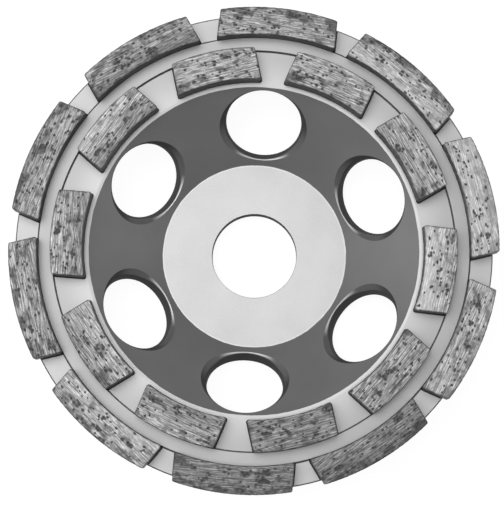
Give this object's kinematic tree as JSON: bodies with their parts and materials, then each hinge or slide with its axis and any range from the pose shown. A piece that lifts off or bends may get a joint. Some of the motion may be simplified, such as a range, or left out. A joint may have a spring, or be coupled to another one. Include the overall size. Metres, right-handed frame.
{
  "type": "diamond cup wheel",
  "caption": "Dished steel grinding wheel with a round spindle bore, dust holes through its sloped wall and two rows of sintered diamond segments on its rim.",
  "frame": {"origin": "on the bore's axis, at the hub's flat back face, which the wheel rests on", "axes": "+Z along the bore's axis, towards the grinding face"},
  "size_m": [0.125, 0.125, 0.024],
  "materials": {
    "cup_steel": "turned bare on hub and rim, dark grey paint on the sloped wall and the back",
    "diamond_segment": "sintered metal with diamond grit, face ground with streaks and pits"
  },
  "bodies": {
    "root": {"cup_body": "cup_steel", "outer_segment_01": "diamond_segment", "outer_segment_02": "diamond_segment", "outer_segment_03": "diamond_segment", "outer_segment_04": "diamond_segment", "outer_segment_05": "diamond_segment", "outer_segment_06": "diamond_segment", "outer_segment_07": "diamond_segment", "outer_segment_08": "diamond_segment", "outer_segment_09": "diamond_segment", "outer_segment_10": "diamond_segment", "inner_segment_01": "diamond_segment", "inner_segment_02": "diamond_segment", "inner_segment_03": "diamond_segment", "inner_segment_04": "diamond_segment", "inner_segment_05": "diamond_segment", "inner_segment_06": "diamond_segment", "inner_segment_07": "diamond_segment", "inner_segment_08": "diamond_segment", "inner_segment_09": "diamond_segment", "inner_segment_10": "diamond_segment"}
  },
  "joints": []
}
